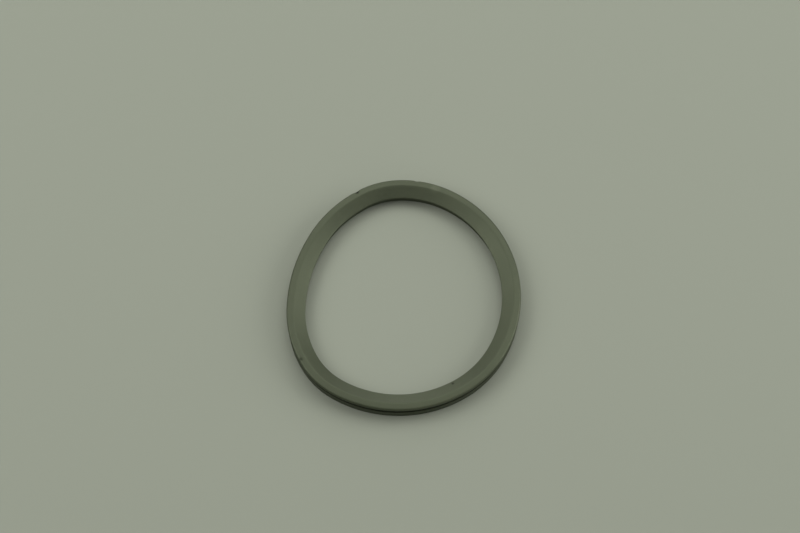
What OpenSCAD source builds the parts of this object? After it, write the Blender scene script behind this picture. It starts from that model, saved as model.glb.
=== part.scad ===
/* [Ring] */
// Diameter over the rim when the ring is held round
rim_d = 100; // [90:1:140]
// Radial width from the rim edge in to the lip edge
ring_w = 7.6; // [7:0.1:9]

/* [Rim and funnel face] */
// Thickness of the rim from the groove up to its crest
rim_t = 2; // [1.9:0.1:2.6]
// Rounding of the rim's top outer edge
rim_round = 0.8; // [0.6:0.1:1.2]
// Width of the land from the rim edge in to the crest, rounded edge included
land_w = 2.8; // [2:0.1:3.2]
// Slope of the land from the crest out to the rim edge, in degrees
land_tilt = 6; // [0:1:8]
// Slope of the funnel face from the crest in to the lip, in degrees
funnel_tilt = 27; // [18:1:28]
// Rounding of the crest between land and funnel face
crest_round = 1.2; // [0.6:0.1:1.8]

/* [Sealing lip] */
// Thickness of the lip at its blunt edge
lip_t = 0.8; // [0.6:0.1:1]
// Rounding of both corners of that edge
lip_round = 0.2; // [0.1:0.05:0.25]
// Overhang of the lip inside the wall of the body
lip_reach = 1; // [0.9:0.1:1.5]
// Slope of the underside of the lip, in degrees
under_tilt = 8; // [2:1:10]
// Fillet where the lip grows out of the body
root_round = 0.4; // [0.2:0.1:0.5]

/* [Groove and foot] */
// Height of the foot below the groove
foot_h = 3.4; // [2.8:0.1:4]
// How far the foot stands in from the rim edge
foot_inset = 0.15; // [0.05:0.05:0.4]
// Opening of the groove between foot and rim
groove_w = 1.7; // [1.3:0.1:2]
// Depth of the round-bottomed groove in from the foot's outer wall
groove_depth = 3.2; // [2:0.1:3.4]
// Rounding of the foot's edges and of the rim's lower edge
edge_round = 0.4; // [0.2:0.1:0.6]

/* [Lie of the soft ring] */
// Bulge at both ends of the long way across
oval = 2.45; // [0:0.05:3]
// Direction of the long way across, in degrees
oval_turn = 78; // [0:1:179]
// Bulge of the egg shape at each of its three blunt places
egg = 1.1; // [0:0.05:1.4]
// Direction of the first blunt place, in degrees
egg_turn = 97; // [0:1:119]
// Bulge at each of four places set square to each other
square_bulge = 0.38; // [0:0.01:0.5]
// Direction of the first of the four, in degrees
square_turn = 32; // [0:1:89]

/* [Hidden] */
$fn = 96;
arcs = 12;
step = 360 / arcs;
groove_top = foot_h + groove_w;
groove_s = -foot_inset - groove_depth + groove_w / 2;
wall_s = -ring_w + lip_reach;
crest = [-land_w, groove_top + rim_t];
rim_top = crest + [land_w, -land_w * tan(land_tilt)];
lip_top = crest - (ring_w - land_w) * [1, tan(funnel_tilt)];
lip_low = lip_top - [0, lip_t];
root_s = wall_s - root_round;
root_z = lip_low[1] + (lip_reach - root_round) * tan(under_tilt) - root_round / cos(under_tilt);
root_top = [root_s, root_z] + root_round * [-sin(under_tilt), cos(under_tilt)];

// Rounded corners between sloping faces: where, the radius, and the two ways the faces look
sloped = [
    [rim_top, rim_round, 0, 90 - land_tilt],
    [crest, crest_round, 90 - land_tilt, 90 + funnel_tilt],
    [lip_top, lip_round, 90 + funnel_tilt, 180],
    [lip_low, lip_round, 180, 270 + under_tilt]
];

// Change in bend radius along the rim for a given number of bulges of a given height
function bulge(count, height, turn, i) =
    (1 - count * count) * height * cos(count * ((i + 0.5) * step - turn));

// Bend radius of one stretch of the rim, which is a closed chain of equal turns
function bend(i) = rim_d / 2
    + bulge(2, oval, oval_turn, i)
    + bulge(3, egg, egg_turn, i)
    + bulge(4, square_bulge, square_turn, i);

// Centre of that stretch, placed so that it runs on smoothly from the stretch before
function centre(i) = i == 0 ? [0, 0] :
    centre(i - 1) + (bend(i - 1) - bend(i)) * [cos(i * step), sin(i * step)];

// Middle of the ring between its outermost places to the sides, front and back
middle_x = (centre(0)[0] + bend(0) + centre(arcs / 2)[0] - bend(arcs / 2)) / 2;
middle_y = (centre(arcs / 4)[1] + bend(arcs / 4) + centre(arcs * 3 / 4)[1] - bend(arcs * 3 / 4)) / 2;

// Direction at an angle, one long
function toward(a) = [cos(a), sin(a)];

// Centre of the circle that touches both faces of a sloped corner
function round_centre(c) = c[0] - c[1] / cos((c[3] - c[2]) / 2) * toward((c[2] + c[3]) / 2);

// Waste outside a rounded square corner, with the material to the left of it and below
module corner_waste(r) {
    difference() {
        translate([-r, -r])
            square(2 * r);
        translate([-r, -r])
            circle(r);
    }
}

// Round-bottomed groove that opens outward, with the edges of its mouth rounded
module groove() {
    translate([groove_s, foot_h])
        square([foot_inset + groove_depth, groove_w]);
    translate([groove_s, foot_h + groove_w / 2])
        circle(groove_w / 2);
    translate([0, groove_top])
        mirror([0, 1])
            corner_waste(edge_round);
    translate([-foot_inset, foot_h])
        corner_waste(edge_round);
}

// Cross section with the rim edge at zero and the lip to the left
module section() {
    difference() {
        union() {
            polygon([
                for (c = sloped, face = [2, 3]) round_centre(c) + c[1] * toward(c[face]),
                root_top,
                [wall_s, root_z],
                [wall_s, 0],
                [-foot_inset, 0],
                [-foot_inset, groove_top],
                [0, groove_top]
            ]);
            for (c = sloped)
                translate(round_centre(c))
                    circle(c[1]);
        }
        translate([root_s, root_z])
            circle(root_round);
        groove();
        translate([-foot_inset, 0])
            mirror([0, 1])
                corner_waste(edge_round);
        translate([wall_s, 0])
            rotate(180)
                corner_waste(edge_round);
    }
}

// One moulded ring, its section swept around the chain of turns
module seal_ring() {
    color("dimgray")
        translate([-middle_x, -middle_y, 0])
            for (i = [0 : arcs - 1])
                translate([centre(i)[0], centre(i)[1], 0])
                    rotate([0, 0, i * step])
                        rotate_extrude(angle = step)
                            translate([bend(i), 0])
                                section();
}

seal_ring();
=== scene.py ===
import math
import bmesh
import bpy
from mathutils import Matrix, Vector


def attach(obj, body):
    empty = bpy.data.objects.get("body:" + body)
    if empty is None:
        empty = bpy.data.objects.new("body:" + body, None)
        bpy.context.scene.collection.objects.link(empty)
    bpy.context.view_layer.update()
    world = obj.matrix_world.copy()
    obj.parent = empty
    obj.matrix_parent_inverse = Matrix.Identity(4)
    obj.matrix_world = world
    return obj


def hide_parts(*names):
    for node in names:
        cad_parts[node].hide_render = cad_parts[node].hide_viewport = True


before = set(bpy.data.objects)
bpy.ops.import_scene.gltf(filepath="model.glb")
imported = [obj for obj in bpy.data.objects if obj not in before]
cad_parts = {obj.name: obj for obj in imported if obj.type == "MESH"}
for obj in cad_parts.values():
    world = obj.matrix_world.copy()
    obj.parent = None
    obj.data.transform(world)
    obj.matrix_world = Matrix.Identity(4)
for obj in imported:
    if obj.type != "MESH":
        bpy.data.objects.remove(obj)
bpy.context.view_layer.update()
scene = bpy.context.scene
scene.view_settings.view_transform = "Standard"
mm = 0.001
print("frame loaded:", sorted(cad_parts))


# moulded ring: sizes in millimetres and degrees, the same as the solid's own
ring = {
    "rimDiameter": 100, "width": 7.6,
    "rimThick": 2.0, "rimRound": 0.8, "landWidth": 2.8, "landTilt": 6, "crestRound": 1.2, "funnelTilt": 27,
    "lipThick": 0.8, "lipRound": 0.2, "lipReach": 1.0, "underTilt": 8, "rootRound": 0.4,
    "footHeight": 3.4, "footInset": 0.15, "grooveWidth": 1.7, "grooveDepth": 3.2, "edgeRound": 0.4,
    "bulges": ((2, 2.45, 78), (3, 1.1, 97), (4, 0.38, 32)),  # how many, how high, which way
    "arcs": 12, "stepsPerArc": 40, "longestEdge": 0.7, "weld": 0.002,
    "rimSegments": 10, "grooveSegments": 8, "edgeSegments": 6, "lipSegments": 4,
    "grooveEase": 0.985,  # the groove's two roundings stop just short of each other
    "nicks": (  # small cuts in the rim's top edge: where, how far they reach, how deep
        {"place": (-20.0, 46.2, 6.4), "reach": 1.2, "depth": 0.24},
        {"place": (5.1, 51.2, 6.5), "reach": 1.0, "depth": 0.2},
    ),
    "nickPatch": 1.5, "nickCuts": 2, "nickDrop": 0.6, "nickStretch": 0.4,
}


def roundedCorner(out, up, radius, firstFace, nextFace, segments):
    # a corner whose two faces look along two angles, with the rounding as a length along each face
    return (out, up), radius * math.tan(math.radians(nextFace - firstFace) / 2), segments


def sectionCorners(r):
    # corners of the section in order, measured out from the rim edge and up from the floor
    grooveTop = r["footHeight"] + r["grooveWidth"]
    grooveEnd = -r["footInset"] - r["grooveDepth"]
    halfGroove = r["grooveWidth"] / 2 * r["grooveEase"]
    high = grooveTop + r["rimThick"]
    wall = -r["width"] + r["lipReach"]
    land, funnel, under = r["landTilt"], r["funnelTilt"], r["underTilt"]
    rimTop = high - r["landWidth"] * math.tan(math.radians(land))
    lipTop = high - (r["width"] - r["landWidth"]) * math.tan(math.radians(funnel))
    lipLow = lipTop - r["lipThick"]
    rootTop = lipLow + r["lipReach"] * math.tan(math.radians(under))
    rim, groove, edge, lip = (r[name + "Segments"] for name in ("rim", "groove", "edge", "lip"))
    return [
        roundedCorner(0, rimTop, r["rimRound"], 0, 90 - land, rim),
        roundedCorner(-r["landWidth"], high, r["crestRound"], 90 - land, 90 + funnel, edge),
        roundedCorner(-r["width"], lipTop, r["lipRound"], 90 + funnel, 180, lip),
        roundedCorner(-r["width"], lipLow, r["lipRound"], 180, 270 + under, lip),
        roundedCorner(wall, rootTop, r["rootRound"], 180, 270 + under, edge),
        roundedCorner(wall, 0, r["edgeRound"], 180, 270, edge),
        roundedCorner(-r["footInset"], 0, r["edgeRound"], 270, 360, edge),
        roundedCorner(-r["footInset"], r["footHeight"], r["edgeRound"], 0, 90, edge),
        roundedCorner(grooveEnd, r["footHeight"], halfGroove, 0, 90, groove),
        roundedCorner(grooveEnd, grooveTop, halfGroove, 0, 90, groove),
        roundedCorner(0, grooveTop, r["edgeRound"], 270, 360, edge),
    ]


def bendChain(r):
    # bend radius and centre of each stretch, the whole centred on its own outline
    turn = 2 * math.pi / r["arcs"]
    bends, centres = [], []
    for i in range(r["arcs"]):
        bend = r["rimDiameter"] / 2
        for count, height, way in r["bulges"]:
            bend += (1 - count * count) * height * math.cos(count * ((i + 0.5) * turn - math.radians(way)))
        if i == 0:
            centres.append(Vector((0, 0, 0)))
        else:
            outward = Vector((math.cos(i * turn), math.sin(i * turn), 0))
            centres.append(centres[-1] + outward * (bends[-1] - bend))
        bends.append(bend)
    quarter = r["arcs"] // 4
    right, back, left, front = (centres[k * quarter] for k in range(4))
    middle = Vector((
        (right.x + bends[0] + left.x - bends[2 * quarter]) / 2,
        (back.y + bends[quarter] + front.y - bends[3 * quarter]) / 2,
        0,
    ))
    return bends, [c - middle for c in centres], turn


def drawSection(bm, r, rimEdge):
    # closed outline of the section, standing at the rim edge
    fromRim = bm.verts.layers.float.new("fromRim")  # kept on every copy, for the finish
    corners = sectionCorners(r)
    verts = []
    for (out, up), rounding, segments in corners:
        verts.append(bm.verts.new((rimEdge + Vector((out, 0, up))) * mm))
    bm.faces.new(verts)
    for vert, (place, rounding, segments) in zip(verts, corners):
        bmesh.ops.bevel(bm, geom=[vert], offset=rounding * mm, offset_type="OFFSET", segments=segments,
                        profile=0.5, affect="VERTICES", material=-1, clamp_overlap=False)
    bmesh.ops.delete(bm, geom=bm.faces[:], context="FACES_ONLY")
    for edge in bm.edges[:]:  # hold the flat stretches flat when the shading is smooth
        cuts = int(edge.calc_length() / (r["longestEdge"] * mm))
        if cuts:
            bmesh.ops.subdivide_edges(bm, edges=[edge], cuts=cuts)
    for vert in bm.verts:
        vert[fromRim] = rimEdge.x - vert.co.x / mm
    print("section drawn:", len(bm.verts), "points")


def cutNick(bm, r, nick):
    # a finer patch around the nick, then its middle pressed down and in
    place, reach = Vector(nick["place"]) * mm, nick["reach"] * mm
    patch = r["nickPatch"] * reach
    close = [e for e in bm.edges if all((v.co - place).length < patch for v in e.verts)]
    bmesh.ops.subdivide_edges(bm, edges=close, cuts=r["nickCuts"], use_grid_fill=True)
    inward = -Vector((place.x, place.y, 0)).normalized() - Vector((0, 0, r["nickDrop"]))
    along = Vector((-place.y, place.x, 0)).normalized()
    for vert in bm.verts:
        away = vert.co - place
        gap = (away - along * away.dot(along) * r["nickStretch"]).length / reach  # longer along the rim
        if gap < 1:
            vert.co += inward * nick["depth"] * mm * (1 - gap * gap) ** 2


def buildRing(r, material):
    bends, centres, turn = bendChain(r)
    bm = bmesh.new()
    drawSection(bm, r, centres[0] + Vector((bends[0], 0, 0)))
    loop = bm.verts[:] + bm.edges[:]
    for centre in centres:
        spun = bmesh.ops.spin(bm, geom=loop, cent=centre * mm, axis=(0, 0, 1), angle=turn,
                              steps=r["stepsPerArc"], use_merge=False, use_duplicate=False)
        loop = spun["geom_last"]
    bmesh.ops.remove_doubles(bm, verts=bm.verts[:], dist=r["weld"] * mm)
    for nick in r["nicks"]:
        cutNick(bm, r, nick)
    bmesh.ops.recalc_face_normals(bm, faces=bm.faces[:])
    for face in bm.faces:
        face.smooth = True
    openEdges = sum(1 for e in bm.edges if len(e.link_faces) != 2)
    print("ring spun:", len(bm.faces), "faces,", openEdges, "open edges")
    mesh = bpy.data.meshes.new("sealRing")
    bm.to_mesh(mesh)
    bm.free()
    mesh.materials.append(material)
    piece = bpy.data.objects.new("seal_ring_moulded", mesh)
    scene.collection.objects.link(piece)
    weighted = piece.modifiers.new("flatFaces", "WEIGHTED_NORMAL")
    weighted.keep_sharp = False
    return piece


# grey rubber: matt from moulding, a little bloomed, rubbed at its edges, with painted shade in the groove and a
# painted contact shadow along the foot's lower edge
# each band is where a change begins and ends, each share how much of it shows there
rubber = {
    "base": (0.0305, 0.035, 0.0205), "deep": (0.025, 0.0295, 0.0172), "bloom": (0.049, 0.056, 0.035),
    # the darkest tone is both the dark streaks' colour and the colour of the painted shade below the rim
    "darkStreakAndShade": (0.006, 0.007, 0.0042), "rubbed": (0.040, 0.047, 0.028),
    "roughness": (0.43, 0.57), "specular": 0.9, "gloss": (0.88, 1.0, 0.67), "unevenBand": (0.35, 0.65),
    "cloudScale": 55, "mottleScale": 700, "grainScale": 5200, "streakLong": 70, "streakFine": 5.5,
    "cloudBand": (0.35, 0.65),
    "mottleBand": (0.45, 0.8), "mottleShare": (0, 0.35),
    "paleBand": (0.5, 0.75), "darkBand": (0.45, 0.25), "streakShare": (0, 0.3),
    "wornBand": (0.3, 0.6), "wornShare": (0.2, 0.7),
    "rimAcross": (0.9, 0.1), "rimHeight": (5.6, 6.3), "lipAcross": (7.0, 7.5), "lipHeight": (4.1, 4.6),
    # painted shade below the rim: where it lies across and up, in the groove and along the foot's lower edge,
    # how it is broken, and how much rougher and less glossy it is
    "shadeAcross": (4.2, 3.6), "shadeHeight": (5.9, 5.1), "shadeBand": (0.2, 0.6), "shadeShare": (0.7, 1),
    "footTop": (3.1, 3.5), "footTopShare": (0.08, 1), "footEdge": (1.0, 0.4), "footEdgeShare": (0, 0.85),
    "shadeRough": 0.25, "shadeDull": 0.6,
    "grainHeight": 0.00002, "grainStrength": 0.6,
    "mottleHeight": 0.00005, "mottleStrength": 0.5, "streakLift": 0.5,
    "marksAndNickShade": (  # place in millimetres, reach, tone, how much of it and how much less gloss
        # a paler patch on the rim's top at the back right
        {"place": (13.0, 48.0, 7.0), "reach": 3.2, "tone": (0.075, 0.083, 0.055), "amount": 0.55, "dull": 0.0},
        {"place": (19.7, -39.8, 5.2), "reach": 0.9, "tone": (0.008, 0.009, 0.006), "amount": 0.9, "dull": 0.7},
        {"place": (-41.1, -30.2, 6.4), "reach": 1.3, "tone": (0.008, 0.009, 0.006), "amount": 0.9, "dull": 0.7},
        # painted shade: a dark spot in the first nick on the rim's back left, where the cut falls in shade
        {"place": (-19.8, 45.8, 6.7), "reach": 1.3, "tone": (0.006, 0.007, 0.004), "amount": 1.0, "dull": 0.8},
    ),
    "markCore": 0.2, "markBand": (0.3, 0.55), "markShare": (0.4, 1),
}


def noise(tree, vector, scale, detail, roughness=0.5):
    node = tree.nodes.new("ShaderNodeTexNoise")
    node.inputs["Scale"].default_value = scale
    node.inputs["Detail"].default_value = detail
    node.inputs["Roughness"].default_value = roughness
    tree.links.new(vector, node.inputs["Vector"])
    return node.outputs["Fac"]


def ramp(tree, value, band, share=(0.0, 1.0)):
    node = tree.nodes.new("ShaderNodeMapRange")
    node.interpolation_type = "SMOOTHSTEP"
    for name, setting in zip(("From Min", "From Max", "To Min", "To Max"), (*band, *share)):
        node.inputs[name].default_value = setting
    tree.links.new(value, node.inputs["Value"])
    return node.outputs["Result"]


def combine(tree, operation, first, second):
    node = tree.nodes.new("ShaderNodeMath")
    node.operation = operation
    for socket, value in zip(node.inputs, (first, second)):
        if isinstance(value, (int, float)):
            socket.default_value = value
        else:
            tree.links.new(value, socket)
    return node.outputs["Value"]


def tint(tree, factor, under, over):
    node = tree.nodes.new("ShaderNodeMix")
    node.data_type = "RGBA"
    tree.links.new(factor, node.inputs["Factor"])
    for name, colour in (("A", under), ("B", over)):
        if isinstance(colour, tuple):
            node.inputs[name].default_value = (*colour, 1)
        else:
            tree.links.new(colour, node.inputs[name])
    return node.outputs["Result"]


def raised(tree, height, distance, strength, normal=None):
    node = tree.nodes.new("ShaderNodeBump")
    node.inputs["Strength"].default_value = strength
    node.inputs["Distance"].default_value = distance
    tree.links.new(height, node.inputs["Height"])
    if normal:
        tree.links.new(normal, node.inputs["Normal"])
    return node.outputs["Normal"]


def rubberMaterial(m):
    mat = bpy.data.materials.new("greyRubber")
    mat.use_nodes = True
    tree = mat.node_tree
    shader = tree.nodes["Principled BSDF"]
    place = tree.nodes.new("ShaderNodeTexCoord").outputs["Object"]
    axes = tree.nodes.new("ShaderNodeSeparateXYZ")
    tree.links.new(place, axes.inputs["Vector"])
    across = tree.nodes.new("ShaderNodeAttribute")
    across.attribute_name = "fromRim"
    fromRim = across.outputs["Fac"]
    height = combine(tree, "DIVIDE", axes.outputs["Z"], mm)  # in millimetres, like fromRim

    # streaks follow the ring: long around it, fine across it
    stretched = tree.nodes.new("ShaderNodeCombineXYZ")
    for name in "XY":
        longWay = combine(tree, "MULTIPLY", axes.outputs[name], m["streakLong"])
        tree.links.new(longWay, stretched.inputs[name])
    tree.links.new(combine(tree, "MULTIPLY", fromRim, m["streakFine"]), stretched.inputs["Z"])
    streak = noise(tree, stretched.outputs["Vector"], 1, 3, 0.6)
    cloud = noise(tree, place, m["cloudScale"], 3)
    mottle = noise(tree, place, m["mottleScale"], 5, 0.6)
    grain = noise(tree, place, m["grainScale"], 2)

    tone = tint(tree, ramp(tree, cloud, m["cloudBand"]), m["deep"], m["base"])
    tone = tint(tree, ramp(tree, mottle, m["mottleBand"], m["mottleShare"]), tone, m["bloom"])
    tone = tint(tree, ramp(tree, streak, m["paleBand"], m["streakShare"]), tone, m["bloom"])
    tone = tint(tree, ramp(tree, streak, m["darkBand"], m["streakShare"]), tone, m["darkStreakAndShade"])

    # rubbed paler along the rounded rim edge and the lip edge
    onRim = combine(tree, "MULTIPLY", ramp(tree, fromRim, m["rimAcross"]), ramp(tree, height, m["rimHeight"]))
    onLip = combine(tree, "MULTIPLY", ramp(tree, fromRim, m["lipAcross"]), ramp(tree, height, m["lipHeight"]))
    worn = combine(tree, "MAXIMUM", onRim, onLip)
    worn = combine(tree, "MULTIPLY", worn, ramp(tree, mottle, m["wornBand"], m["wornShare"]))
    tone = tint(tree, worn, tone, m["rubbed"])

    # painted shade below the rim: darker, rougher and less glossy in the groove, on the outer wall and in a
    # painted contact shadow along the foot's lower edge
    outer, below = ramp(tree, fromRim, m["shadeAcross"]), ramp(tree, height, m["shadeHeight"])
    inGroove = ramp(tree, height, m["footTop"], m["footTopShare"])
    atFloor = ramp(tree, height, m["footEdge"], m["footEdgeShare"])
    paintedShade = combine(tree, "MULTIPLY", outer, below)
    paintedShade = combine(tree, "MULTIPLY", paintedShade, combine(tree, "MAXIMUM", inGroove, atFloor))
    paintedShade = combine(tree, "MULTIPLY", paintedShade, ramp(tree, mottle, m["shadeBand"], m["shadeShare"]))
    tone = tint(tree, paintedShade, tone, m["darkStreakAndShade"])

    dull = combine(tree, "MULTIPLY", paintedShade, m["shadeDull"])
    # each spot tints the rubber and takes off some gloss; the last one is painted shade in the nick
    for mark in m["marksAndNickShade"]:
        gap = tree.nodes.new("ShaderNodeVectorMath")
        gap.operation = "DISTANCE"
        gap.inputs[1].default_value = Vector(mark["place"]) * mm
        tree.links.new(place, gap.inputs[0])
        edge = mark["reach"] * mm
        close = ramp(tree, gap.outputs["Value"], (edge, m["markCore"] * edge), (0, mark["amount"]))
        broken = combine(tree, "MULTIPLY", close, ramp(tree, mottle, m["markBand"], m["markShare"]))
        tone = tint(tree, broken, tone, mark["tone"])
        dull = combine(tree, "MAXIMUM", dull, combine(tree, "MULTIPLY", broken, mark["dull"]))
    tree.links.new(tone, shader.inputs["Base Color"])

    uneven = combine(tree, "MULTIPLY", combine(tree, "ADD", mottle, streak), 0.5)
    uneven = ramp(tree, uneven, m["unevenBand"], m["roughness"])
    matt = combine(tree, "ADD", uneven, combine(tree, "MULTIPLY", paintedShade, m["shadeRough"]))
    tree.links.new(matt, shader.inputs["Roughness"])
    shine = combine(tree, "SUBTRACT", m["specular"], dull)
    tree.links.new(shine, shader.inputs["Specular IOR Level"])
    shader.inputs["Specular Tint"].default_value = (*m["gloss"], 1)

    waves = combine(tree, "ADD", mottle, combine(tree, "MULTIPLY", streak, m["streakLift"]))
    wavy = raised(tree, waves, m["mottleHeight"], m["mottleStrength"])
    grainy = raised(tree, grain, m["grainHeight"], m["grainStrength"], wavy)
    tree.links.new(grainy, shader.inputs["Normal"])
    return mat


sealRing = buildRing(ring, rubberMaterial(rubber))
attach(sealRing, "root")
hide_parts("seal_ring")
print("ring placed")


# floor
floorLook = {"colour": (0.314, 0.337, 0.271), "half": 3.0, "roughness": 0.85, "specular": 0.2}


def buildFloor(f):
    bm = bmesh.new()
    bmesh.ops.create_grid(bm, x_segments=1, y_segments=1, size=f["half"])
    mesh = bpy.data.meshes.new("floor")
    bm.to_mesh(mesh)
    bm.free()
    mat = bpy.data.materials.new("paleFloor")
    mat.use_nodes = True
    shader = mat.node_tree.nodes["Principled BSDF"]
    shader.inputs["Base Color"].default_value = (*f["colour"], 1)
    shader.inputs["Roughness"].default_value = f["roughness"]
    shader.inputs["Specular IOR Level"].default_value = f["specular"]
    mesh.materials.append(mat)
    piece = bpy.data.objects.new("floor", mesh)
    scene.collection.objects.link(piece)
    return piece


buildFloor(floorLook)
print("floor laid")


# soft lamps around the ring: turn and lift in degrees, distance and size in metres
lamps = {
    "right": {"turn": 8, "lift": 23, "away": 1.6, "size": 1.2, "power": 13.8},
    "left": {"turn": 177, "lift": 39, "away": 1.6, "size": 1.2, "power": 9.2},
    "backRight": {"turn": 55, "lift": 55, "away": 1.6, "size": 1.3, "power": 7.4},
    "backLeft": {"turn": 126, "lift": 46, "away": 1.6, "size": 1.2, "power": 5.6},
    "lowBack": {"turn": 92, "lift": 19, "away": 1.6, "size": 1, "power": 4},
    "frontRight": {"turn": 300, "lift": 21, "away": 1.6, "size": 1.2, "power": 3.2},
    "frontLeft": {"turn": 222, "lift": 48, "away": 1.6, "size": 1.4, "power": 2.4},
    "top": {"turn": 0, "lift": 88, "away": 1.6, "size": 1.2, "power": 2.6},
}


def hangLamp(name, l):
    turn, lift = math.radians(l["turn"]), math.radians(l["lift"])
    out = Vector((math.cos(turn) * math.cos(lift), math.sin(turn) * math.cos(lift), math.sin(lift)))
    data = bpy.data.lights.new(name, "AREA")
    data.shape = "DISK"
    data.size = l["size"]
    data.energy = l["power"]
    lamp = bpy.data.objects.new(name, data)
    lamp.location = out * l["away"]
    lamp.rotation_mode = "QUATERNION"
    lamp.rotation_quaternion = (-out).to_track_quat("-Z", "Y")
    lamp.visible_camera = False
    scene.collection.objects.link(lamp)


for name, lamp in lamps.items():
    hangLamp(name, lamp)

sky = {"glow": (0.31, 0.33, 0.28), "strength": 0.06}
world = bpy.data.worlds.new("studio")
scene.world = world
world.use_nodes = True
background = world.node_tree.nodes["Background"]
background.inputs["Color"].default_value = (*sky["glow"], 1)
background.inputs["Strength"].default_value = sky["strength"]
print("lamps hung")


# camera, looking down from the front
view = {"lens": 85, "sensor": 36, "away": 0.7765, "lift": 65, "aim": (-0.0017, 0.0146, 0)}
camData = bpy.data.cameras.new("camera")
camData.lens = view["lens"]
camData.sensor_width = view["sensor"]
camera = bpy.data.objects.new("camera", camData)
lift = math.radians(view["lift"])
camera.location = (0, -math.cos(lift) * view["away"], math.sin(lift) * view["away"])
camera.rotation_mode = "QUATERNION"
camera.rotation_quaternion = (Vector(view["aim"]) - camera.location).to_track_quat("-Z", "Y")
scene.collection.objects.link(camera)
scene.camera = camera
print("camera set")
